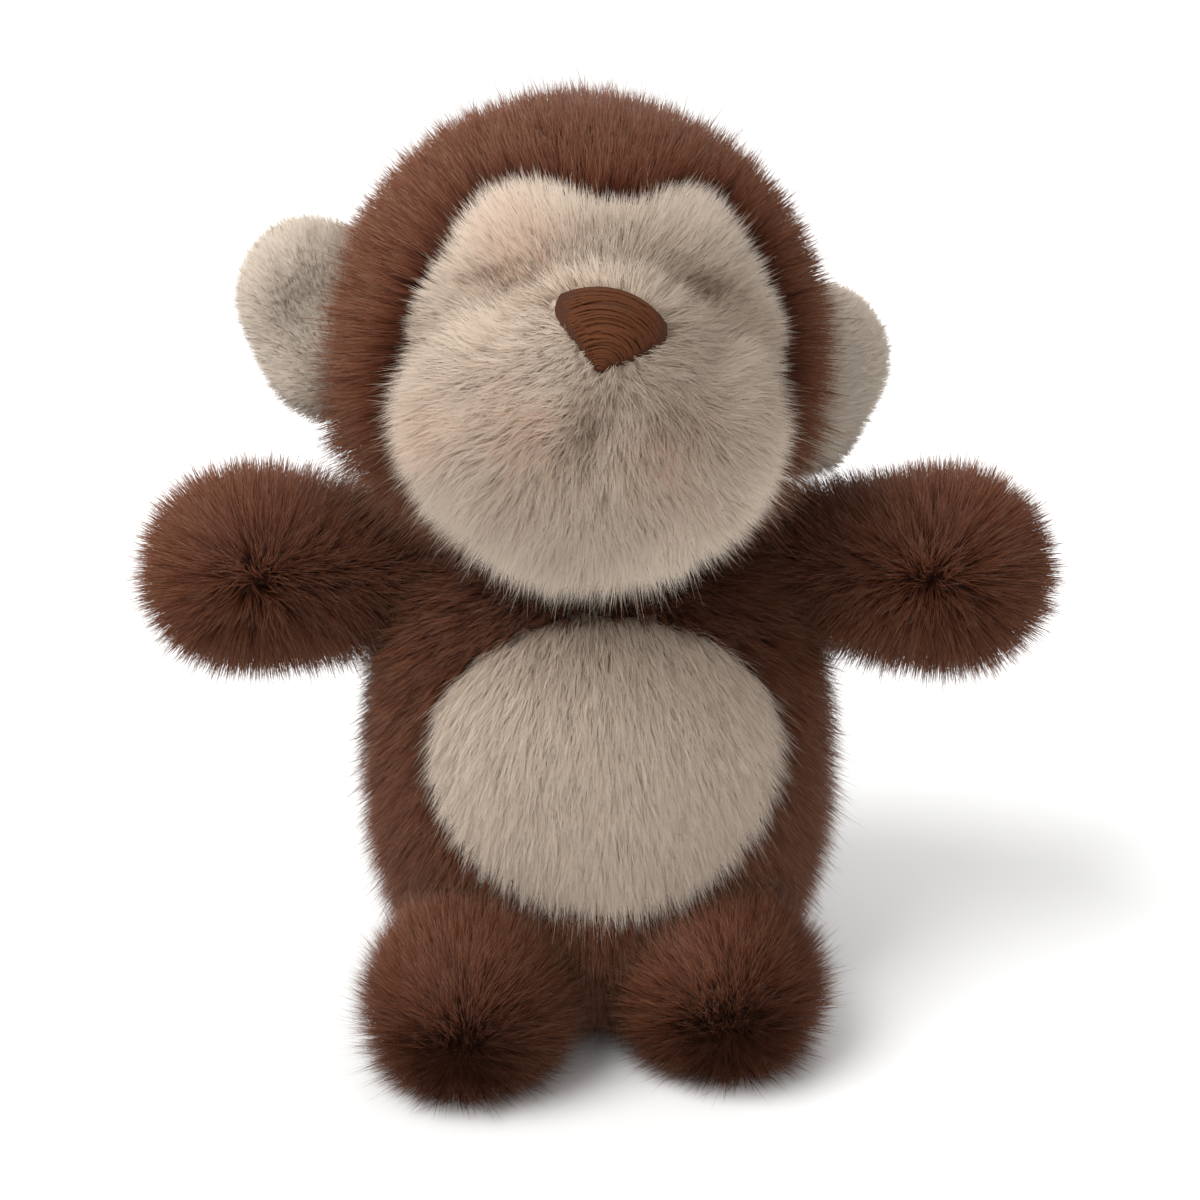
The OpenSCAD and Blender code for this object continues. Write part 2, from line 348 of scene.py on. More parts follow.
def melt(first, second, soft):
    """The nearer of two surfaces, with a soft fillet where they meet."""
    mix = np.clip(0.5 + 0.5 * (second - first) / soft, 0, 1)
    return second * (1 - mix) + first * mix - soft * mix * (1 - mix)


def bump(points, middle, reach):
    """1 at the middle, falling smoothly to 0 at about twice the reach."""
    away = length((points - np.array(middle, float)) / np.array(reach, float))
    return np.exp(-away * away)


torso_low, torso_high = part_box("torso_front")
TORSO_R = torso_high.x / MM
TORSO_H = torso_high.z / MM
TORSO_MID = TORSO_H * 0.518
TORSO_HALF = TORSO_H * 0.588
TORSO_SWELL = 2.7
SEAT_EDGE = 4.0


def torso_distance(points):
    """A squarish barrel that is flat under the seat."""
    around = np.hypot(points[:, 0], points[:, 1]) / TORSO_R
    along = np.abs(points[:, 2] - TORSO_MID) / TORSO_HALF
    barrel = ((around**TORSO_SWELL + along**TORSO_SWELL) ** (1 / TORSO_SWELL) - 1) * TORSO_R
    return -melt(-barrel, points[:, 2], SEAT_EDGE)


HEAD_R = 37.5
NECK_R = 15.0
EYE_HOLLOWS = [(-17.5, -32, 4.5), (14.5, -33, 5.5)]
HOLLOW_DEPTH = 2.2
JAWS = [(-32, 0, -14), (30, 6, -18)]
JAW_FULL = 2.4


def head_distance(points):
    """The ball of the head, its neck, a fuller jaw, and two soft hollows above the muzzle."""
    at = head.inward(points)
    ball = melt(length(at) - HEAD_R, length(points - neck) - NECK_R, 4.0)
    for hollow in EYE_HOLLOWS:
        ball = ball + HOLLOW_DEPTH * bump(at, hollow, (8, 9, 5))
    for jaw in JAWS:
        ball = ball - JAW_FULL * bump(at, jaw, (12, 18, 13))
    return ball


MUZZLE_BALLS = [
    ((0, -33, -7), 14.8),
    ((-11.5, -22.5, -17), 18.6),
    ((11.5, -22.5, -17), 18.6),
    ((0, -20, -23), 18.0),
]
GROOVE_DEPTH = 3.2


def muzzle_distance(points):
    """Two puffed cheeks, a nose bridge and a chin under one skin, with a groove below the nose."""
    at = head.inward(points)
    middle, radius = MUZZLE_BALLS[0]
    skin = length(at - np.array(middle)) - radius
    for middle, radius in MUZZLE_BALLS[1:]:
        skin = melt(skin, length(at - np.array(middle)) - radius, 7.0)
    return skin + GROOVE_DEPTH * bump(at, (-1, -45, -16), (2.6, 12, 5.5))


ARM_ROOT_R = 9.0
ARM_TIP_R = 14.0
ARM_REACH = 32.5


def arm_distance(side):
    """A round-ended cone from the shoulder to the paw."""
    slope = (ARM_ROOT_R - ARM_TIP_R) / ARM_REACH
    rise = math.sqrt(1 - slope * slope)

    def distance(points):
        at = arms[side].inward(points)
        around = np.hypot(at[:, 0], at[:, 1])
        along = at[:, 2]
        side_on = around * rise + along * slope - ARM_ROOT_R
        root = np.hypot(around, along) - ARM_ROOT_R
        tip = np.hypot(around, along - ARM_REACH) - ARM_TIP_R
        place = along * rise - around * slope
        inner = np.where(place < 0, root, side_on)
        return np.where(place > rise * ARM_REACH, tip, inner)

    return distance


LEG_ROOT_R = 11.0
FOOT_R = 15.5
LEG_REACH = {"left": 13.0, "right": 8.0}


def leg_distance(side):
    """A foot ball and its root ball, pressed flat where they rest."""

    def distance(points):
        at = legs[side].inward(points)
        root = length(at) - LEG_ROOT_R
        foot = length(at - np.array([0, 0, LEG_REACH[side]])) - FOOT_R
        return -melt(-melt(root, foot, 3.0), points[:, 2], 3.0)

    return distance


EAR_T = 9.0
EAR_LOBES = [((5.5, 3), 13.5), ((3, -10), 8.4)]
EAR_DISH = 1.6


def ear_distance(side):
    """A flat pillow with a round top and a narrow foot, dished at the front."""

    def distance(points):
        at = ears[side].inward(points)
        flat = at[:, [0, 2]]
        (top, top_r), (foot, foot_r) = EAR_LOBES
        rim = melt(length(flat - np.array(top)) - top_r, length(flat - np.array(foot)) - foot_r, 9.0)
        dish = EAR_DISH * np.exp(-(length(flat - np.array([6.0, 1.0])) / 7.5) ** 2)
        across = at[:, 1] - dish
        edge = EAR_T / 2
        beyond = np.maximum(rim + edge, 0)
        return np.hypot(beyond, across) + np.minimum(rim + edge, 0) * 0.05 - edge

    return distance


print("torso", round(TORSO_R, 1), "x", round(TORSO_H, 1), "mm")

# %% [markdown]
# ## From a form to a cloth skin
# A ball of triangles is pushed out along its own rays until it meets the form. Then the skin is filled:
# Blender's Cloth blows it up a little from inside while the seams hold it back, which gives the soft
# crowned look of stuffed cloth. The move is capped, so a pocket never grows out of its place.

# %% Skins
RAY_STEPS = 30
BALL_CUTS = 4
START_SLACK = 0.9


class Skin:
    """Points, triangles and normals of one stuffed pocket, in millimetres."""

    def __init__(self, name, distance, middle, reach):
        self.name = name
        self.distance = distance
        ball = bmesh.new()
        bmesh.ops.create_icosphere(ball, subdivisions=BALL_CUTS, radius=1)
        rays = np.array([v.co for v in ball.verts])
        self.faces = np.array([[v.index for v in f.verts] for f in ball.faces])
        ball.free()
        near = np.zeros(len(rays))
        far = np.full(len(rays), float(reach))
        for _ in range(RAY_STEPS):
            half = (near + far) / 2
            inside = distance(middle + rays * half[:, None]) < -START_SLACK
            near = np.where(inside, half, near)
            far = np.where(inside, far, half)
        self.points = middle + rays * near[:, None]

    def mesh(self, name):
        return sheet_mesh(name, self.points, self.faces.tolist())

    def measure(self):
        """Normals of the points and areas of the triangles."""
        a, b, c = (self.points[self.faces[:, k]] for k in range(3))
        cross = np.cross(b - a, c - a)
        self.area = length(cross) / 2
        self.normals = np.zeros_like(self.points)
        for k in range(3):
            np.add.at(self.normals, self.faces[:, k], cross)
        self.normals = unit(self.normals)


skins = {
    "torso": Skin("torso", torso_distance, np.array([0.0, 0.0, TORSO_MID]), 90),
    "head": Skin("head", head_distance, head_middle, 90),
    "muzzle": Skin("muzzle", muzzle_distance, head.spot(0, -23, -16), 60),
}
for side in sides:
    arm_middle = arms[side].spot(0, 0, ARM_REACH * 0.55)
    leg_middle = legs[side].spot(0, 0, LEG_REACH[side] * 0.6)
    ear_middle = ears[side].spot(5, 1.5, -1)
    skins[f"arm_{side}"] = Skin(f"arm_{side}", arm_distance(side), arm_middle, 60)
    skins[f"leg_{side}"] = Skin(f"leg_{side}", leg_distance(side), leg_middle, 60)
    skins[f"ear_{side}"] = Skin(f"ear_{side}", ear_distance(side), ear_middle, 40)
print("skins:", {name: len(skin.points) for name, skin in skins.items()})

# %% [markdown]
# ## Seams
# A stuffed toy is pinched along its seams. The seam lines are the borders between panels, so each form gets
# a rule for which panel a point belongs to, and points near a border are held while the rest swells.

# %% Panel borders
FACE_DIP = math.radians(23)
FACE_SIDE = math.radians(1)
FACE_ANGLE = math.radians(57)
face_flat = math.cos(FACE_DIP)
face_sideways = face_flat * math.sin(FACE_SIDE)
face_ahead = np.array([face_sideways, -face_flat * math.cos(FACE_SIDE), -math.sin(FACE_DIP)])
PEAK_AT = (-0.5, -31, 22)
BELLY_W = 29.0
BELLY_H = 25.0
belly_low, belly_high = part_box("belly_patch")
BELLY_Z = (belly_low.z + belly_high.z) / 2 / MM
SOLE_SPLIT = 0.35


def face_border(points):
    """Above 0 on the cream face, which has two lobes and a small peak of brown between them."""
    at = head.inward(points)
    inside = np.arccos(np.clip(unit(at) @ face_ahead, -1, 1))
    peak = 8.0 * bump(at, PEAK_AT, (6.5, 12, 7))
    lobes = 4.5 * bump(at, (-18, -29, 15), (8, 12, 8)) + 4.0 * bump(at, (14, -29, 17), (7, 12, 8))
    return (FACE_ANGLE - inside) * HEAD_R - peak + lobes


def belly_border(points):
    """Above 0 on the belly oval."""
    oval = np.hypot(points[:, 0] / BELLY_W, (points[:, 2] - BELLY_Z) / BELLY_H)
    return np.where(points[:, 1] < 0, (1 - oval) * BELLY_H, -BELLY_H)


def torso_borders(points):
    sides_seam = np.where(belly_border(points) > 0, 9, points[:, 1])
    back_seam = np.where(points[:, 1] > 0, points[:, 0], 9)
    return [belly_border(points), sides_seam, back_seam, points[:, 2] - SEAT_EDGE]


def head_borders(points):
    at = head.inward(points)
    crown = np.where(face_border(points) > 0, 9, at[:, 0])
    return [face_border(points), crown, muzzle_distance(points)]


def limb_borders(points, place):
    return [place.inward(points)[:, 1]]


def foot_borders(points, side):
    return [points[:, 2] - legs[side].origin[2] * SOLE_SPLIT]


borders = {
    "torso": torso_borders,
    "head": head_borders,
    "muzzle": lambda points: [head_distance(points)],
}
for side in sides:
    borders[f"arm_{side}"] = lambda points, s=side: limb_borders(points, arms[s])
    borders[f"ear_{side}"] = lambda points, s=side: limb_borders(points, ears[s])
    borders[f"leg_{side}"] = lambda points, s=side: foot_borders(points, s)
print("borders for", sorted(borders))

# %% [markdown]
# ## Filling
# Pressure could be faked by pushing points outward. Cloth lets the free cloth between two seams rise most
# and keeps the seams low. The toy is small, so the pressure is high and the cloth light, or nothing moves.

# %% Fill the pockets
PRESSURE = 3000.0
CLOTH_MASS = 0.02
SWELL_USUAL = 2.0
SEAM_QUIET = 0.05
FLOOR_GAP = 0.4
SIM_FRAMES = 20
SEAM_WIDTH = 2.2
SWELL_CAP = {"ear_left": 1.0, "ear_right": 1.0, "muzzle": 1.4}


def fill_pocket(skin):
    """Blow the skin up from inside with Cloth, held at its seams, and cap the move."""
    cloth_object = bpy.data.objects.new("filling", skin.mesh("filling"))
    scene.collection.objects.link(cloth_object)
    held = cloth_object.vertex_groups.new(name="seams")
    away = np.min(np.abs(borders[skin.name](skin.points)), axis=0)
    nearness = np.exp(-((away / SEAM_WIDTH) ** 2))
    for index, weight in enumerate(nearness):
        if weight > SEAM_QUIET:
            held.add([index], float(weight), "REPLACE")
    cloth = cloth_object.modifiers.new("cloth", "CLOTH").settings
    cloth.use_pressure = True
    cloth.uniform_pressure_force = PRESSURE
    cloth.mass = CLOTH_MASS
    cloth.effector_weights.gravity = 0
    cloth.vertex_group_mass = "seams"
    cloth.pin_stiffness = 1.0
    cloth.quality = 4
    for number in range(1, SIM_FRAMES + 1):
        scene.frame_set(number)
    swollen = cloth_object.evaluated_get(bpy.context.evaluated_depsgraph_get())
    moved = np.zeros(len(skin.points) * 3)
    swollen.data.vertices.foreach_get("co", moved)
    step = moved.reshape(-1, 3) / MM - skin.points
    size = length(step)[:, None]
    cap = SWELL_CAP.get(skin.name, SWELL_USUAL)
    skin.points = skin.points + step * np.minimum(1, cap / np.maximum(size, 1e-9))
    bpy.data.objects.remove(cloth_object)
    scene.frame_set(1)
    return float(size.max())


def refine(skin):
    """One subdivision, as a smooth surface, and fresh normals."""
    rough = bpy.data.objects.new("rough", skin.mesh("rough"))
    scene.collection.objects.link(rough)
    rough.modifiers.new("finer", "SUBSURF").levels = 1
    smooth = rough.evaluated_get(bpy.context.evaluated_depsgraph_get()).data
    smooth.calc_loop_triangles()
    points = np.zeros(len(smooth.vertices) * 3)
    smooth.vertices.foreach_get("co", points)
    corners = np.zeros(len(smooth.loop_triangles) * 3, int)
    smooth.loop_triangles.foreach_get("vertices", corners)
    skin.points = points.reshape(-1, 3) / MM
    skin.faces = corners.reshape(-1, 3)
    bpy.data.objects.remove(rough)
    skin.points[:, 2] = np.maximum(skin.points[:, 2], FLOOR_GAP)
    skin.measure()


for skin in skins.values():
    print(skin.name, "swelled by up to", round(fill_pocket(skin), 1), "mm before its cap")
    refine(skin)
print("skin area", round(sum(s.area.sum() for s in skins.values()) / 100), "cm2")

# %% [markdown]
# ## Finishes for fur
# A fibre is dark at its root, where little light reaches it, and pale at its tip. Painting that on each
# strand by hand is slow, so every strand gets the same small map: up the map is from root to tip, and
# across it is the strand's own tint. One ramp along each way then colours the whole coat. The dark root
# is painted shade, and the pale tip is partly the fibre's own colour and partly painted light.

# %% Fur finish
STRAND_MAP = "OFBake"


def fur_finish(name, along, tints, glow, glow_share, roughness):
    """Fibres coloured from root to tip by along and from strand to strand by tints."""
    coat = Finish(name)
    where = coat.node("UVMap", {"uv_map": STRAND_MAP})
    across = coat.node("SeparateXYZ", {}, {0: where}, 0)
    up = coat.node("SeparateXYZ", {}, {0: where}, 1)
    fibre = coat.node("ValToRGB", {"stops": along}, {"Fac": up})
    tint = coat.node("ValToRGB", {"stops": tints}, {"Fac": across})
    colour = coat.blend(1.0, fibre, tint, "MULTIPLY")
    gloss = {
        "Base Color": colour,
        "Roughness": up * -0.12 + roughness,
        "Specular IOR Level": 0.12,
    }
    solid = coat.node("BsdfPrincipled", {}, gloss)
    through = coat.node("BsdfTranslucent", {}, {"Color": (*glow, 1)})
    return coat.show(coat.node("MixShader", {}, {0: glow_share, 1: solid, 2: through}))


# The along ramps paint shade at the root and partly paint light at the tip, over the fibres' own colour. The
# low end of the tints holds painted shade.
brown_along = [(0.0, (0.028, 0.007, 0.003)), (0.35, (0.070, 0.019, 0.008)), (0.7, (0.138, 0.044, 0.020)),
               (0.86, (0.225, 0.094, 0.052)), (1.0, (0.480, 0.330, 0.245))]
brown_tints = [(0.0, (0.76, 0.74, 0.72)), (0.25, (1.0, 1.0, 1.0)), (0.5, (1.24, 1.20, 1.16))]
cream_along = [(0.0, (0.420, 0.315, 0.240)), (0.35, (0.620, 0.490, 0.385)), (0.7, (0.800, 0.670, 0.548)),
               (1.0, (0.940, 0.840, 0.730))]
cream_tints = [(0.0, (0.34, 0.29, 0.26)), (0.12, (0.80, 0.78, 0.76)), (0.25, (1.0, 1.0, 1.0)),
               (0.49, (1.10, 1.10, 1.10)), (0.51, (0.88, 0.74, 0.69)), (1.0, (1.02, 0.88, 0.83))]
plush_along = [(0.0, (0.600, 0.500, 0.410)), (0.5, (0.740, 0.640, 0.540)), (1.0, (0.850, 0.765, 0.665))]
brown_fur = fur_finish("brown_fur", brown_along, brown_tints, (0.22, 0.085, 0.045), 0.25, 0.70)
cream_fur = fur_finish("cream_fur", cream_along, cream_tints, (0.66, 0.55, 0.44), 0.30, 0.75)
ear_fur = fur_finish("ear_plush", plush_along, cream_tints, (0.66, 0.55, 0.44), 0.30, 0.80)
print("fur finishes:", brown_fur.name, cream_fur.name, ear_fur.name)

# %% [markdown]
# ## Finishes for cloth, fibre and thread
# Under the pile lies knitted backing, inside lie loose fibre and a woven pellet bag, and threads hold it
# all. Each could be one flat colour. Small waves and noise in the toy's own space give them their grain.


# %% Cloth finishes
def grain_finish(name, dark, light, scale, grain, roughness, twist=None):
    """Two colours mixed by noise, with ribs or fibres raised by a bump."""
    cloth = Finish(name)
    place = cloth.node("TexCoord", {}, {}, 3)
    if twist:
        place = cloth.node("VectorMath", {"operation": "MULTIPLY"}, {0: place, 1: twist})
    noise = cloth.node("TexNoise", {}, {"Vector": place, "Scale": scale, "Detail": 4.0}, 0)
    ribs = cloth.node("TexWave", {}, {"Vector": place, "Scale": grain, "Distortion": 3.0}, 1)
    shade = noise * 0.7 + ribs * 0.3
    colour = cloth.blend(shade, (*dark, 1), (*light, 1))
    raised = cloth.node("Bump", {}, {"Strength": 0.35, "Distance": 0.0004, "Height": shade})
    inputs = {"Base Color": colour, "Roughness": shade * 0.2 + roughness, "Normal": raised}
    inputs["Specular IOR Level"] = 0.25
    return cloth.show(cloth.node("BsdfPrincipled", {}, inputs))


# The backing takes the colour of its pile's shaded roots: partly the cloth's own colour, partly painted shade
# in the gaps between fibres.
brown_backing = grain_finish("brown_backing", (0.024, 0.008, 0.005), (0.060, 0.022, 0.013), 900, 700, 0.75)
cream_backing = grain_finish("cream_backing", (0.40, 0.32, 0.25), (0.60, 0.50, 0.41), 900, 700, 0.75)
loose_fibre = grain_finish("loose_fibre", (0.60, 0.59, 0.56), (0.90, 0.89, 0.86), 260, 90, 0.8)
pellet_cloth = grain_finish("pellet_cloth", (0.50, 0.48, 0.42), (0.80, 0.77, 0.68), 500, 900, 0.8)
brown_thread = grain_finish("brown_thread", (0.030, 0.012, 0.008), (0.090, 0.038, 0.022), 1200, 1500, 0.5)
cream_thread = grain_finish("cream_thread", (0.34, 0.27, 0.21), (0.56, 0.46, 0.37), 1200, 1500, 0.6)
label_ribbon = grain_finish("label_ribbon", (0.66, 0.65, 0.62), (0.88, 0.87, 0.84), 700, 1400, 0.55)
nose_thread = grain_finish(
    "nose_thread", (0.032, 0.008, 0.0015), (0.150, 0.040, 0.007), 1500, 1300, 0.6, (1, 1, 2.2)
)
nose_felt = grain_finish("nose_felt", (0.035, 0.011, 0.005), (0.080, 0.028, 0.012), 900, 700, 0.8)
print("cloth finishes: 9")

# %% [markdown]
# ## The solids that stay
# Stuffing, pellets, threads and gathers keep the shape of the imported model. They are hidden or small, so
# they only get a finish.

# %% Dress the solids that stay
solid_finish = {
    "torso_stuffing": loose_fibre,
    "head_stuffing": loose_fibre,
    "muzzle_stuffing": loose_fibre,
    "pellet_bag": pellet_cloth,
    "back_closing_stitches": brown_thread,
    "neck_gather_thread": brown_thread,
    "neck_seam_allowance": brown_backing,
}
for side in sides:
    for limb in ("arm", "leg"):
        solid_finish[f"{limb}_{side}_stuffing"] = loose_fibre
        solid_finish[f"{limb}_{side}_root_gather"] = brown_backing
for node_name, finish in solid_finish.items():
    solid = frame["nodes"][node_name].data
    solid.materials.clear()
    solid.materials.append(finish)
print("solids dressed:", len(solid_finish))

# %% [markdown]
# ## The cloth under the pile
# Each sewn panel is its own piece of backing. A panel takes the triangles of its skin that lie inside its
# borders, and Solidify gives it the thickness of knitted cloth. It stands for the solid panel of the model.

# %% Backing panels
BACKING_T = 1.0


def panel_of(skin, node, inside, cream, body):
    """The triangles of a skin whose middles are inside, as cloth of a real thickness."""
    finish = cream_backing if cream else brown_backing
    slot = "cream_fur" if cream else "brown_fur"
    slot = "ear_plush" if node.startswith("ear_") else slot
    faces = skin.faces[inside(skin.points[skin.faces].mean(1))]
    used, faces = np.unique(faces, return_inverse=True)
    name = f"{node}_cloth"
    data = sheet_mesh(name, skin.points[used], faces.reshape(-1, 3).tolist())
    data.polygons.foreach_set("use_smooth", np.ones(len(data.polygons), bool))
    panel = piece_of(name, data, finish, body, node)
    thick = panel.modifiers.new("cloth_thickness", "SOLIDIFY")
    thick.thickness = BACKING_T * MM
    thick.offset = -1
    return panel


def on_belly(points):
    return belly_border(points) > 0


def on_base(points):
    return points[:, 2] < SEAT_EDGE


def on_face(points):
    return face_border(points) > 0


def head_side(points, side):
    return (head.inward(points)[:, 0] * sides[side] > 0) & ~on_face(points)


torso_skin = skins["torso"]
panels = [
    panel_of(torso_skin, "belly_patch", on_belly, True, "torso"),
    panel_of(torso_skin, "torso_base", on_base, False, "torso"),
    panel_of(torso_skin, "torso_front",
             lambda p: (p[:, 1] < 0) & ~on_belly(p) & ~on_base(p), False, "torso"),
    panel_of(skins["head"], "face_mask", on_face, True, "head"),
    panel_of(skins["muzzle"], "muzzle", lambda p: head_distance(p) > -2.5, True, "head"),
]
for side, sign in sides.items():
    back = lambda p, s=sign: (p[:, 1] >= 0) & (p[:, 0] * s > 0) & ~on_base(p)
    panels.append(panel_of(torso_skin, f"torso_back_{side}", back, False, "torso"))
    of_head = lambda p, s=side: head_side(p, s)
    panels.append(panel_of(skins["head"], f"head_side_{side}", of_head, False, "head"))
    front = lambda p, s=side: arms[s].inward(p)[:, 1] < 0
    rear = lambda p, s=side: arms[s].inward(p)[:, 1] >= 0
    panels.append(panel_of(skins[f"arm_{side}"], f"arm_{side}_front", front, False, f"arm_{side}"))
    panels.append(panel_of(skins[f"arm_{side}"], f"arm_{side}_back", rear, False, f"arm_{side}"))
    sole = lambda p, s=side: foot_borders(p, s)[0] < 0
    above = lambda p, s=side: foot_borders(p, s)[0] >= 0
    panels.append(panel_of(skins[f"leg_{side}"], f"leg_{side}_sole", sole, False, f"leg_{side}"))
    panels.append(panel_of(skins[f"leg_{side}"], f"leg_{side}_upper", above, False, f"leg_{side}"))
    ear_front = lambda p, s=side: ears[s].inward(p)[:, 1] < 0
    ear_back = lambda p, s=side: ears[s].inward(p)[:, 1] >= 0
    panels.append(panel_of(skins[f"ear_{side}"], f"ear_{side}_front", ear_front, True, f"ear_{side}"))
    panels.append(panel_of(skins[f"ear_{side}"], f"ear_{side}_back", ear_back, True, f"ear_{side}"))
print("backing panels:", len(panels))

# %% [markdown]
# ## Ear wadding
# An ear holds a thin layer of fibre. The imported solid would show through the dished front, so the wadding
# here is the ear's own skin moved inward, which follows the dish.

# %% Ear wadding
WADDING_DEPTH = 2.0
for side in sides:
    ear = skins[f"ear_{side}"]
    wadding_name = f"ear_{side}_fibre"
    inner = sheet_mesh(wadding_name, ear.points - ear.normals * WADDING_DEPTH, ear.faces.tolist())
    wadding = piece_of(
        wadding_name, inner, loose_fibre, f"ear_{side}", f"ear_{side}_wadding"
    )
print("ear wadding: 2")

# %% [markdown]
# ## The stitched nose
# The nose is satin stitch: many short threads laid side by side in arcs over a small pad. A painted patch
# would look printed, so each thread is its own tube that dives into the cloth at both ends.

# %% Nose shape
NOSE_FOOT = (-2.9, -10.0)
NOSE_H = 14.0
NOSE_SPREAD = math.radians(52)
NOSE_TILT = math.radians(12)
NOSE_CORNER = 4.0
NOSE_DOME = 1.5
NOSE_FRINGE = 0.9
NOSE_ROUND = math.radians(15)
THREAD_R = 0.27
THREAD_GAP = 0.40
THREAD_SIDES = 6
THREAD_POINTS = 15
THREAD_SINK = 0.7


def muzzle_front(across, height):
    """The place on the muzzle or brow straight ahead of a point of the head."""
    far, near = np.full(len(across), -60.0), np.full(len(across), -15.0)
    for _ in range(RAY_STEPS):
        depth = (far + near) / 2
        at = head.outward(np.stack([across, depth, height], axis=1))
        inside = np.minimum(muzzle_distance(at), head_distance(at)) < 0
        near = np.where(inside, depth, near)
        far = np.where(inside, far, depth)
    return np.stack([across, (far + near) / 2, height], axis=1)


def nose_spread(ring):
    """Half angle of an arc of that radius, less near the top so that the corners are round."""
    past = np.clip((ring - (NOSE_H - NOSE_CORNER)) / NOSE_CORNER, 0, 1)
    return NOSE_SPREAD - NOSE_ROUND * past * past


def nose_height(ring, turn):
    """How far the stitches stand above the cloth."""
    centre = np.hypot((ring - NOSE_H * 0.55) / (NOSE_H * 0.5), turn / NOSE_SPREAD)
    return 0.5 + NOSE_DOME * np.clip(1 - centre**2, 0, 1)


def off_nose(points):
    """Off the nose, apart from a fringe that is rooted just under its edge."""
    at = head.inward(points)
    across, rise = at[:, 0] - NOSE_FOOT[0], at[:, 2] - NOSE_FOOT[1] - NOSE_FRINGE
    ring, turn = np.hypot(across, rise), np.abs(np.arctan2(across, rise) - NOSE_TILT)
    narrow = turn < nose_spread(ring) - NOSE_FRINGE * 0.02
    return ~((ring < NOSE_H - 2 * NOSE_FRINGE) & narrow & (at[:, 1] < -25))


def tube_mesh(name, lines):
    """One mesh of round threads. Each line is its points and the direction out of the cloth."""
    points, faces = [], []
    for line, outward in lines:
        ahead = unit(np.gradient(line, axis=0))
        beside = unit(np.cross(ahead, outward))
        above = np.cross(beside, ahead)
        first = len(points)
        for number, at in enumerate(line):
            for k in range(THREAD_SIDES):
                a = 2 * math.pi * k / THREAD_SIDES
                round_it = beside[number] * math.cos(a) + above[number] * math.sin(a)
                points.append(at + THREAD_R * round_it)
        for row in range(len(line) - 1):
            for k in range(THREAD_SIDES):
                a = first + row * THREAD_SIDES + k
                b = first + row * THREAD_SIDES + (k + 1) % THREAD_SIDES
                faces.append([a, b, b + THREAD_SIDES, a + THREAD_SIDES])
        faces.append([first + k for k in range(THREAD_SIDES)][::-1])
        faces.append([first + (len(line) - 1) * THREAD_SIDES + k for k in range(THREAD_SIDES)])
    data = sheet_mesh(name, np.array(points), faces)
    data.polygons.foreach_set("use_smooth", np.ones(len(data.polygons), bool))
    return data


nose_rng = np.random.default_rng(71)
AHEAD = -head_back


def thread_line(ring, low, high, tilt=0.0, lift=0.0):
    """An arc round the nose's foot, laid over the pad, with both ends in the cloth."""
    turn = np.linspace(low, high, THREAD_POINTS)
    wobble = nose_rng.normal(0, 0.03, THREAD_POINTS)
    rings = ring + tilt * np.linspace(-1, 1, THREAD_POINTS) + wobble
    across = NOSE_FOOT[0] + rings * np.sin(turn + NOSE_TILT)
    height = NOSE_FOOT[1] + rings * np.cos(turn + NOSE_TILT)
    at = muzzle_front(across, height)
    from_end = np.minimum(np.arange(THREAD_POINTS), np.arange(THREAD_POINTS)[::-1])
    ends = np.clip(from_end / 1.6, 0, 1)
    at[:, 1] -= (nose_height(rings, turn) + lift + THREAD_SINK) * ends - THREAD_SINK
    return head.outward(at), np.tile(AHEAD, (THREAD_POINTS, 1))


LOOSE_THREADS = 26
LOOSE_LIFT = 0.32
lines = []
for ring in np.arange(0.9, NOSE_H, THREAD_GAP):
    reach = nose_spread(ring)
    low, high = -reach + nose_rng.normal(0, 0.02), reach + nose_rng.normal(0, 0.02)
    lines.append(thread_line(ring + nose_rng.normal(0, 0.09), low, high, nose_rng.normal(0, 0.12)))
for _ in range(LOOSE_THREADS):
    ring = nose_rng.uniform(4, NOSE_H - 0.6)
    reach = nose_spread(ring)
    low = -reach * nose_rng.uniform(0.5, 1.0)
    high = reach * nose_rng.uniform(0.5, 1.0)
    lines.append(thread_line(ring, low, high, nose_rng.normal(0, 0.35), LOOSE_LIFT))
stitch_data = tube_mesh("nose_stitches", lines)
piece_of("nose_stitches", stitch_data, nose_thread, "head", "nose_embroidery")
print("nose threads:", len(lines))

# %% [markdown]
# ## The tuck under the nose
# A thread pulls the muzzle in below the nose. It lies at the bottom of its groove, where pile nearly covers
# it, so it is laid on the groove's own surface and dives at both ends.

# %% Tuck thread
TUCK_LEN = 6.0
tuck_heights = np.linspace(NOSE_FOOT[1] - 0.8, NOSE_FOOT[1] - TUCK_LEN, THREAD_POINTS)
tuck_line = muzzle_front(np.full(THREAD_POINTS, NOSE_FOOT[0]), tuck_heights)
tuck_line[:, 1] += 0.2 + 0.5 * np.abs(np.linspace(-1, 1, THREAD_POINTS)) ** 3
tuck_lines = [(head.outward(tuck_line), np.tile(AHEAD, (THREAD_POINTS, 1)))]
tuck_data = tube_mesh("tuck_thread", tuck_lines)
piece_of("tuck_thread", tuck_data, cream_thread, "head", "muzzle_tuck_stitch")
print("tuck thread:", TUCK_LEN, "mm")

# %% [markdown]
# ## The pad under the stitches
# Satin stitch is laid over a scrap of felt, which raises it and hides the cloth between two threads. It
# could be left out. A dark pad just under the threads keeps pale cloth from showing in the gaps.

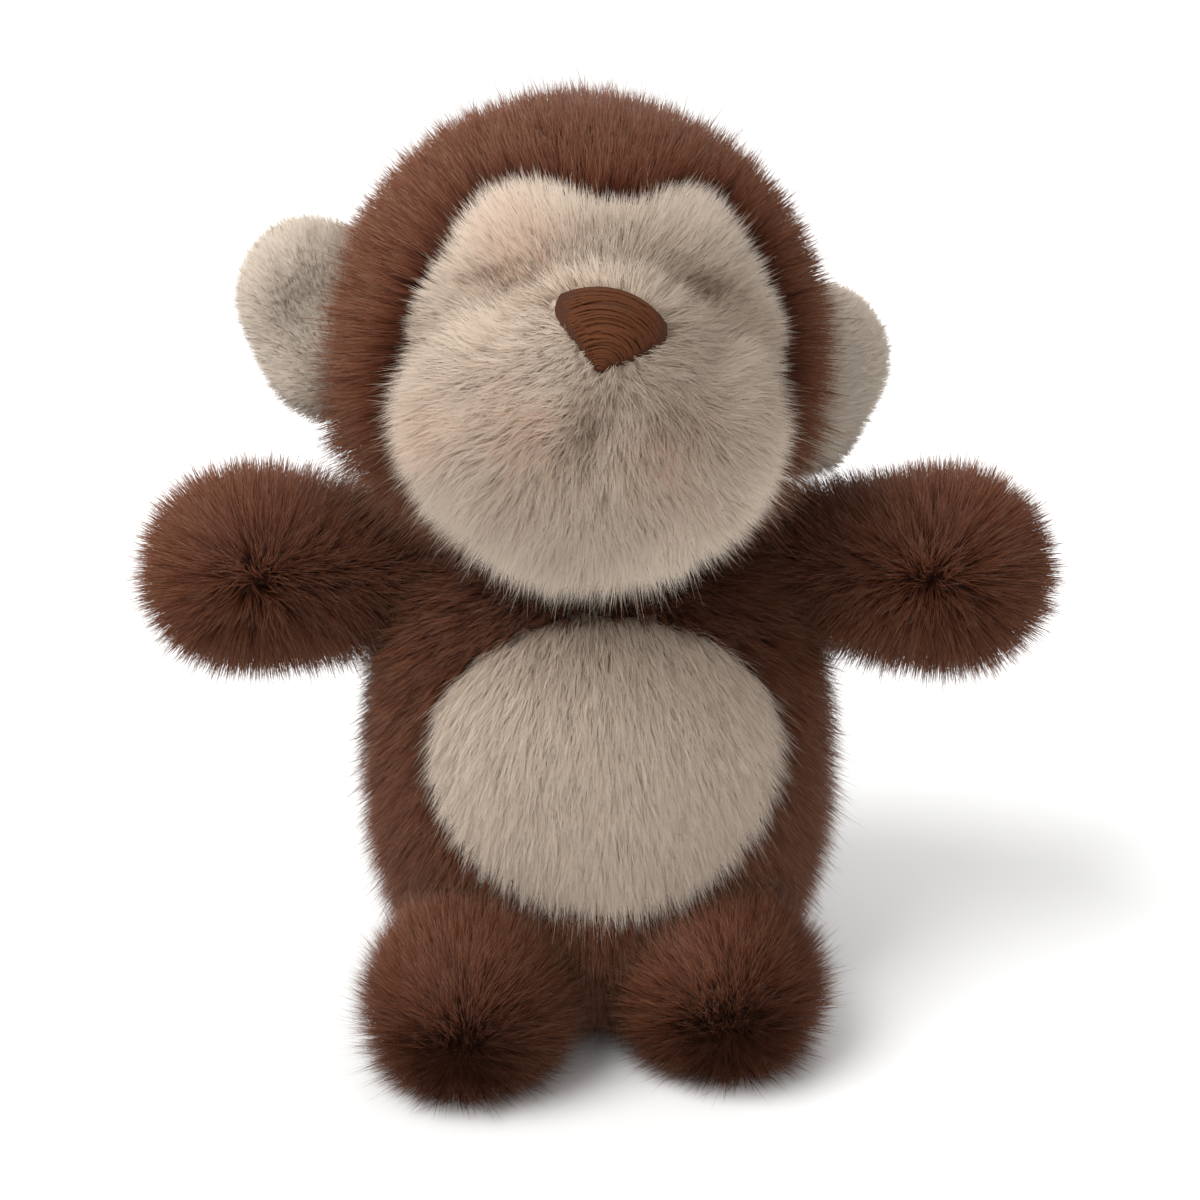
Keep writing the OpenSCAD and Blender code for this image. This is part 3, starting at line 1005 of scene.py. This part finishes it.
# %% Nose pad
PAD_T = 0.6
PAD_RINGS = 16
PAD_TURNS = 20
pad_points = []
for ring in np.linspace(0.3, NOSE_H - 0.2, PAD_RINGS):
    turns = np.linspace(-1, 1, PAD_TURNS) * nose_spread(ring)
    across = NOSE_FOOT[0] + ring * np.sin(turns + NOSE_TILT)
    at = muzzle_front(across, NOSE_FOOT[1] + ring * np.cos(turns + NOSE_TILT))
    at[:, 1] -= nose_height(ring, turns) * np.cos(turns / NOSE_SPREAD * math.pi / 2.1) - 0.15
    pad_points.append(head.outward(at))
pad_points = np.concatenate(pad_points)
pad_faces = grid_faces(PAD_RINGS, PAD_TURNS)
pad_data = sheet_mesh("nose_pad", pad_points, pad_faces)
nose_pad = piece_of("nose_pad", pad_data, nose_felt, "head")
pad_thick = nose_pad.modifiers.new("pad_thickness", "SOLIDIFY")
pad_thick.thickness = PAD_T * MM
pad_thick.offset = 0
print("nose pad faces:", len(pad_faces))

# %% [markdown]
# ## Growing pile
# Long pile lies in small locks: fibres that start side by side and lean together, so their tips meet.
# Blender has hair curves, but the toy has to be plain meshes, so each fibre here is a narrow tapering
# ribbon of a quad and a triangle. A lock is planted, combed along a flow, and its fibres follow it.
#
# A flat ribbon is lit as a flat blade, which looks like cut paper. Each fibre gets normals near the skin's
# own, so that the whole coat takes light as one soft body. Where a comb pulls weakly, as in the middle of a
# whorl, its fibres turn every way and are a little wider, which covers the roots, and their tint is made
# paler, which is painted light over the dark gaps.

# %% Planting
RIBBON_TURN = 0.4
TINT_CELLS = 64
WEAKEST_PULL = 0.25
GUARD_SHARE = 0.06
GUARD_LENGTH = 1.3
STRAY = 0.10
WHORL_SPIN = 1.6
ROOT_DEPTH = 0.5
LOCK_WIDTH = 0.75


def plant(skin, per_mm2, seed):
    """Even places on a skin with their normals, the same ones each run."""
    rng = np.random.default_rng(seed)
    total = skin.area.sum()
    count = int(total * per_mm2)
    steps = (np.arange(count) + rng.random(count)) / count * total
    chosen = np.searchsorted(np.cumsum(skin.area), steps).clip(0, len(skin.area) - 1)
    u, v = rng.random((2, count, 1))
    u, v = np.where(u + v > 1, 1 - u, u), np.where(u + v > 1, 1 - v, v)
    corners = skin.faces[chosen]
    weights = (1 - u - v, u, v)
    places = sum(w * skin.points[corners[:, k]] for k, w in enumerate(weights))
    normals = unit(sum(w * skin.normals[corners[:, k]] for k, w in enumerate(weights)))
    return places, normals, rng


def tangent(vectors, normals):
    """The part of each vector that lies in the skin."""
    return unit(vectors - normals * (vectors * normals).sum(-1, keepdims=True))


def each_way(values, count):
    return np.repeat(values, count, axis=0)


def waves(points, size):
    """A slow, smooth pattern between -1 and 1 that gives the coat its patches."""
    a = np.sin(points[:, 0] / size + 1.3 * np.sin(points[:, 2] / size * 0.8))
    b = np.sin(points[:, 1] / size * 1.1 + 1.7 * np.sin(points[:, 0] / size * 0.7 + 2))
    c = np.sin(points[:, 2] / size * 0.9 + 1.1 * np.sin(points[:, 1] / size + 4))
    return (a + b + c) / 3


def ribbons_mesh(name, rows, maps):
    """One mesh from rows of ribbon points (fibres, 5, 3) and their map corners (fibres, 7, 2)."""
    count = len(rows)
    data = bpy.data.meshes.new(name)
    data.vertices.add(count * 5)
    data.vertices.foreach_set("co", (rows * MM).astype(np.float32).ravel())
    pattern = np.array([0, 1, 3, 2, 2, 3, 4])
    data.loops.add(count * 7)
    corners = (np.arange(count)[:, None] * 5 + pattern).ravel()
    data.loops.foreach_set("vertex_index", corners.astype(np.int32))
    data.polygons.add(count * 2)
    starts = (np.arange(count)[:, None] * 7 + np.array([0, 4])).ravel()
    data.polygons.foreach_set("loop_start", starts.astype(np.int32))
    data.update(calc_edges=True)
    layer = data.uv_layers.new(name=STRAND_MAP)
    layer.data.foreach_set("uv", maps.astype(np.float32).ravel())
    return data


def even(value):
    return lambda points: np.full(len(points), float(value))


USUAL_PILE = {"tousle": 0.12, "loose": 0.2, "gather": 0.08, "mottle": 0.04}
USUAL_PILE.update({"shade": even(0), "blush": even(0)})


def grow(name, skin, where, comb, pile, finish, body, seed):
    """Plant locks on a skin, comb them, and make their fibres one piece on a body."""
    pile = {**USUAL_PILE, **pile}
    places, normals, rng = plant(skin, pile["locks"], seed)
    kept = where(places)
    places, normals = places[kept], normals[kept]
    count, fibres = len(places), pile["fibres"]
    pull = comb(places, normals)
    flow = tangent(pull, normals)
    strength = np.clip(length(pull), WEAKEST_PULL, 1)
    sideways = np.cross(normals, flow)
    swing = rng.normal(0, STRAY, (count, 1))
    swing = swing + pile["tousle"] * waves(places, 2.6)[:, None]
    swing = swing + (1 - strength)[:, None] * rng.normal(0, WHORL_SPIN, (count, 1))
    flow = flow * np.cos(swing) + sideways * np.sin(swing)
    lean = np.radians(pile["lean"](places)) * np.maximum(strength, 0.85) + rng.normal(0, 0.06, count)
    reach = pile["length"](places) * (1 + 0.08 * waves(places, 5.0)) * rng.normal(1, 0.05, count)
    tint = 0.5 + 0.08 * waves(places, 7.0) + rng.normal(0, pile["mottle"], count)
    # Painted shade: a pile's shade is taken off its tint under the chin, in the face's creases and in the
    # muzzle's groove. A shade below zero paints light, and the feet and belly also take an even darker tone.
    tint = tint - pile["shade"](places)
    fuller = 1 + 0.8 * (1 - strength)
    # Painted light: the middle of a whorl gets a paler tint, which hides its dark gaps.
    tint = tint + 0.25 * (1 - strength)
    normals, flow, lean = each_way(normals, fibres), each_way(flow, fibres), each_way(lean, fibres)
    reach, tint, fuller = each_way(reach, fibres), each_way(tint, fibres), each_way(fuller, fibres)
    total = count * fibres
    angle, out = rng.random(total) * 2 * math.pi, np.sqrt(rng.random(total))
    spread = LOCK_WIDTH / math.sqrt(pile["locks"])
    sideways = np.cross(normals, flow)
    offset = (flow * np.cos(angle)[:, None] + sideways * np.sin(angle)[:, None]) * (out * spread)[:, None]
    root = each_way(places, fibres) + offset - normals * ROOT_DEPTH
    loose = pile["loose"]
    lean = lean + rng.normal(0, loose * 0.75, total)
    yaw = rng.normal(0, loose, (total, 1))
    flow = flow * np.cos(yaw) + sideways * np.sin(yaw)
    guard = np.where(rng.random(total) < GUARD_SHARE, GUARD_LENGTH, 1)
    reach = (reach * rng.uniform(0.68, 1.12, total) * guard)[:, None]

    def heading(share):
        turn = (lean * share)[:, None]
        return normals * np.cos(turn) + flow * np.sin(turn)

    gather = pile["gather"]
    bend = root + heading(0.75) * reach * 0.55 - offset * gather
    tip = bend + heading(1.25) * reach * 0.50 - offset * gather
    tip[:, 2] -= reach[:, 0] * pile["droop"] * 2
    turned = rng.normal(0, RIBBON_TURN, (total, 1))
    face_on = unit(np.cross(heading(1.0), normals) + 1e-6)
    width = face_on * np.cos(turned) + np.cross(heading(1.0), face_on) * np.sin(turned)
    width = width * (pile["width"] * fuller * rng.uniform(0.75, 1.2, total) / 2)[:, None]
    rows = np.stack([root - width, root + width, bend - width * 0.6, bend + width * 0.6, tip], axis=1)
    low = 0.25 + 0.5 * rng.random((total, 1))
    rows[..., 2] = np.maximum(rows[..., 2], low)
    tint = np.clip(tint + rng.normal(0, 0.08, total), 0, 0.999)
    pink = each_way(pile["blush"](places), fibres) > rng.random(total)
    cell = np.floor(tint * TINT_CELLS / 2) + np.where(pink, TINT_CELLS // 2, 0)
    left, right = (cell + 0.25) / TINT_CELLS, (cell + 0.75) / TINT_CELLS
    ups = np.array([0, 0, 0.55, 0.55, 0.55, 0.55, 1.0])
    across = np.stack([left, right, right, left, left, right, (left + right) / 2], axis=1)
    maps = np.stack([across, np.broadcast_to(ups * 0.998 + 0.001, across.shape)], axis=2)
    data = ribbons_mesh(name, rows, maps)
    shown = unit(normals + heading(0.5) * 0.3)
    data.normals_split_custom_set_from_vertices(np.repeat(shown, 5, axis=0).tolist())
    piece_of(name, data, finish, body)
    print(name, total, "fibres")


# %% [markdown]
# ## Combing
# Each part of the coat has its own way. The belly falls and fans out, the head runs back from the face, the
# muzzle runs out from the nose, and each paw has a whorl that its pile turns away from.

# %% Combs
NOSE_AT = np.array([0.0, -45.0, -3.0])
SHOULDER_CLEAR = 8.0
WHORL_R = 6.0


def comb_torso(points, normals):
    fan = points * np.array([0.022, 0.022, 0])
    return fan - UP


def comb_from(place, spot):
    """Away from a spot on the skin, given in the place's own directions."""
    origin = place.spot(*spot)
    return lambda points, normals: (points - origin) / WHORL_R


def comb_head(points, normals):
    at = head.inward(points)
    away = at - face_ahead * 30
    behind = np.clip(at[:, 1:2] / HEAD_R, 0, 1)
    return away @ head.axes - UP * behind * 45


def comb_muzzle(points, normals):
    at = head.inward(points) - NOSE_AT
    part = np.sign(at[:, 0:1]) * np.array([3.0, 0, 0]) * (at[:, 2:3] < -3)
    return (at * np.array([1.0, 0.3, 1.0]) + part) @ head.axes - UP * 2


def outside(points, *names, margin=0.6):
    """Points that are not inside the named skins."""
    clear = np.ones(len(points), bool)
    for name in names:
        clear &= skins[name].distance(points) > margin
    return clear


def off_shoulders(points):
    clear = np.ones(len(points), bool)
    for side in sides:
        clear &= length(points - arms[side].origin) > SHOULDER_CLEAR
    return clear


def ramp(amount, low, high):
    """0 below low, 1 above high, and even between them."""
    return np.clip((amount - low) / (high - low), 0, 1)


def head_lengths(points):
    """Full at the sides, shorter over the crown."""
    at = head.inward(points)
    rise = at[:, 2]
    under_ears = sum(bump(at, (turn * 33, 6, -23), (13, 16, 12)) for turn in sides.values())
    return 10.0 - 2.2 * ramp(rise, 8, 34) + 1.5 * ramp(-rise, -4, 12) + 4.0 * under_ears


def head_leans(points):
    """Nearly upright at the sides, laid back over the crown."""
    return 22 + 20 * ramp(head.inward(points)[:, 2], 5, 32)


def face_lengths(points):
    """Short at the face's edge and in the creases over the muzzle."""
    at = head.inward(points)
    short = sum(bump(at, hollow, (7, 9, 5)) for hollow in EYE_HOLLOWS)
    full = 4.8 + 3.2 * ramp(face_border(points), 1, 9)
    return full * (1 - 0.5 * np.clip(short, 0, 1)) * (0.45 + 0.55 * ramp(muzzle_distance(points), 0, 6))


def face_leans(points):
    return 22 + 12 * ramp(face_border(points), 0, 8)


def painted_crease_shade(points):
    """Painted shade in the two eye creases and along the muzzle's edge, taken off the pile's tint."""
    at = head.inward(points)
    deep = sum(bump(at, hollow, (6.5, 9, 2.2)) for hollow in EYE_HOLLOWS)
    beside = np.exp(-(((muzzle_distance(points) - 3.5) / 3.5) ** 2))
    return np.clip(0.38 * deep + 0.22 * beside, 0, 0.6)


def muzzle_lengths(points):
    """Short at the nose, long at the cheeks and chin."""
    away = length(head.inward(points) - NOSE_AT)
    beside = np.abs(head.inward(points)[:, 0])
    full = 4.4 + 3.4 * ramp(away, 6, 20) + 2.4 * ramp(away, 22, 32) * ramp(-beside, -24, -10)
    return full * (1 - 0.35 * tuck_groove(points))


def muzzle_leans(points):
    away = length(head.inward(points) - NOSE_AT)
    return 24 + 12 * ramp(away, 7, 16)


def tuck_groove(points):
    """1 along the groove that runs down from the nose, 0 away from it."""
    at = head.inward(points)
    below = ramp(-at[:, 2], 9, 12) * (1 - ramp(-at[:, 2], 19, 25))
    return below * np.exp(-(((at[:, 0] - NOSE_FOOT[0]) / 1.8) ** 2))


def muzzle_painted_shade_and_light(points):
    """Painted shade in the groove below the nose, and painted light in the middle of the muzzle."""
    middle = bump(head.inward(points), (0, -46, -14), (17, 14, 13))
    return 0.32 * tuck_groove(points) - 0.13 * middle


def painted_chin_shadow(points):
    """Where the chin's shadow is painted onto the coat below it."""
    return bump(points, (0, -30, 80), (36, 24, 12))


def blush_patches(points):
    at = head.inward(points)
    spots = [((-15, -34, 9), 6), ((-12, -42, -19), 7), ((8, -44, -20), 6.5), ((-26, -34, -20), 5)]
    return 0.7 * np.clip(sum(bump(at, spot, (r, 14, r)) for spot, r in spots), 0, 1)


print("combs ready")

# %% [markdown]
# ## Growing every coat
# Each panel has its own pile. Long piles hide their backing with few wide fibres, short ones need many fine
# fibres. Pile is left out where another part covers the skin, because there it would only push through.

# %% Piles
LONG = 9.6
# The chin's painted shadow falls on the front and belly piles. The face pile gets painted crease shade, and
# the muzzle pile gets painted groove shade and a painted lighter middle.
front_pile = {"locks": 1.15, "fibres": 6, "lean": even(30), "length": even(LONG), "width": 0.20,
              "droop": 0.02, "shade": lambda points: 0.34 * painted_chin_shadow(points)}
back_pile = {"locks": 0.6, "fibres": 6, "lean": even(38), "length": even(LONG), "width": 0.29, "droop": 0.02}
belly_pile = {"locks": 3.4, "fibres": 5, "lean": even(44), "length": even(8.2), "width": 0.13, "droop": 0.02,
              "shade": lambda points: 0.04 + 0.14 * painted_chin_shadow(points)}
head_pile = {"locks": 1.05, "fibres": 6, "lean": head_leans, "length": head_lengths, "width": 0.19,
             "droop": 0.01}
face_pile = {"locks": 3.0, "fibres": 6, "lean": face_leans, "length": face_lengths, "width": 0.13,
             "droop": 0.0, "blush": blush_patches, "shade": painted_crease_shade, "tousle": 0.3, "loose": 0.28}
muzzle_pile = {"locks": 1.9, "fibres": 7, "lean": muzzle_leans, "length": muzzle_lengths, "width": 0.135,
               "droop": 0.01, "blush": blush_patches, "tousle": 1.0, "gather": 0.45, "loose": 0.32,
               "shade": muzzle_painted_shade_and_light, "mottle": 0.08}
arm_pile = {"locks": 1.75, "fibres": 6, "lean": even(26), "length": even(9.8), "width": 0.165,
            "droop": 0.01, "tousle": 0.3}
foot_pile = {"locks": 2.2, "fibres": 6, "lean": even(30), "length": even(8.8), "width": 0.15,
             "droop": 0.02, "tousle": 0.3, "shade": even(0.07)}
ear_pile = {"locks": 4.6, "fibres": 5, "lean": even(30), "length": even(3.4), "width": 0.14, "droop": 0.0}

grow("torso_front_pile", torso_skin,
     lambda p: (p[:, 1] < 0) & ~on_belly(p) & off_shoulders(p) & outside(p, "head", "leg_left", "leg_right"),
     comb_torso, front_pile, brown_fur, "torso", 11)
grow("torso_back_pile", torso_skin,
     lambda p: (p[:, 1] >= 0) & off_shoulders(p) & outside(p, "head"),
     comb_torso, back_pile, brown_fur, "torso", 12)
grow("belly_pile", torso_skin, lambda p: on_belly(p) & outside(p, "muzzle"),
     comb_torso, belly_pile, cream_fur, "torso", 13)
for side in sides:
    grow(f"head_{side}_pile", skins["head"],
         lambda p, s=side: head_side(p, s) & outside(p, "muzzle", "torso", f"ear_{s}"),
         comb_head, head_pile, brown_fur, "head", 21 + sides[side])
grow("face_pile", skins["head"], lambda p: on_face(p) & outside(p, "muzzle", margin=-0.3),
     comb_head, face_pile, cream_fur, "head", 31)
grow("muzzle_pile", skins["muzzle"], lambda p: outside(p, "head", margin=-0.3) & off_nose(p),
     comb_muzzle, muzzle_pile, cream_fur, "head", 32)
for side, sign in sides.items():
    grow(f"arm_{side}_pile", skins[f"arm_{side}"], lambda p: outside(p, "torso", margin=-2.0),
         comb_from(arms[side], (-2.5 * sign, -13, 27.5)), arm_pile, brown_fur,
         f"arm_{side}", 41 + sign)
    grow(f"leg_{side}_pile", skins[f"leg_{side}"], lambda p: outside(p, "torso", margin=-2.0),
         comb_from(legs[side], (2.5, -9, LEG_REACH[side] + 12)), foot_pile, brown_fur, f"leg_{side}",
         51 + sign)
    grow(f"ear_{side}_pile", skins[f"ear_{side}"], lambda p: outside(p, "head"),
         comb_from(ears[side], (-6, 0, -14)), ear_pile, ear_fur, f"ear_{side}", 61 + sign)

# %% [markdown]
# ## The blank label
# A folded ribbon is caught in the back seam. It stays blank. A flat card would look stiff, so the ribbon is
# a strip that runs out, folds over and comes back, with a slight curl.

# %% Label
label_low, label_high = (np.array(corner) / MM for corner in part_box("blank_label_tab"))
FOLD_R = 0.4
LABEL_CURL = 2.2
LABEL_STEPS = 9
out_run = np.linspace(label_low[1] + 1.5, label_high[1] - FOLD_R, LABEL_STEPS)
fold = np.linspace(math.pi / 2, -math.pi / 2, 7)[1:-1]
label_side = np.full(LABEL_STEPS, FOLD_R)
label_x = np.concatenate([label_side, FOLD_R * np.sin(fold), -label_side])
label_y = np.concatenate([out_run, out_run[-1] + FOLD_R * np.cos(fold), out_run[::-1]])
curl = LABEL_CURL * ((label_y - label_y.min()) / np.ptp(label_y)) ** 2
heights = np.linspace(label_low[2], label_high[2], 7)
strip = np.array([[label_x[i] + curl[i], label_y[i], z] for i in range(len(label_x)) for z in heights])
label_faces = grid_faces(len(label_x), len(heights))
label_data = sheet_mesh("label_ribbon", strip, label_faces)
label_data.polygons.foreach_set("use_smooth", np.ones(len(label_faces), bool))
ribbon_run = float(np.hypot(np.diff(label_x + curl), np.diff(label_y)).sum())
label = piece_of("label_ribbon", label_data, label_ribbon, "torso", "blank_label_tab")
print("label", round(float(np.ptp(heights)), 1), "x", round(ribbon_run, 1), "mm")

# %% [markdown]
# ## Floor
# The toy sits on a plain pale floor, which only gives it a soft shadow to rest in.

# %% Floor
floor_finish = Finish("pale_floor")
floor_noise = floor_finish.node("TexNoise", {}, {"Scale": 40.0, "Detail": 3.0}, 0)
floor_colour = floor_finish.blend(floor_noise, (0.80, 0.80, 0.80, 1), (0.86, 0.86, 0.86, 1))
floor_look = floor_finish.node("BsdfPrincipled", {}, {"Base Color": floor_colour, "Roughness": 0.9})
FLOOR_HALF = 4.0
corners = [(-FLOOR_HALF, -FLOOR_HALF, 0), (FLOOR_HALF, -FLOOR_HALF, 0), (FLOOR_HALF, FLOOR_HALF, 0),
           (-FLOOR_HALF, FLOOR_HALF, 0)]
floor_data = bpy.data.meshes.new("floor")
floor_data.from_pydata(corners, [], [[0, 1, 2, 3]])
floor_data.materials.append(floor_finish.show(floor_look))
floor = bpy.data.objects.new("floor", floor_data)
scene.collection.objects.link(floor)
floor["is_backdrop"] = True

# %% [markdown]
# ## How much the pile adds
# The pile may stand a little proud of the hard model, and this prints by how much the toy has grown.

# %% Finish
low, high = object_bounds()
print("grown by", [round((high[i] - low[i] - cad_high[i] + cad_low[i]) / MM, 1) for i in range(3)], "mm")
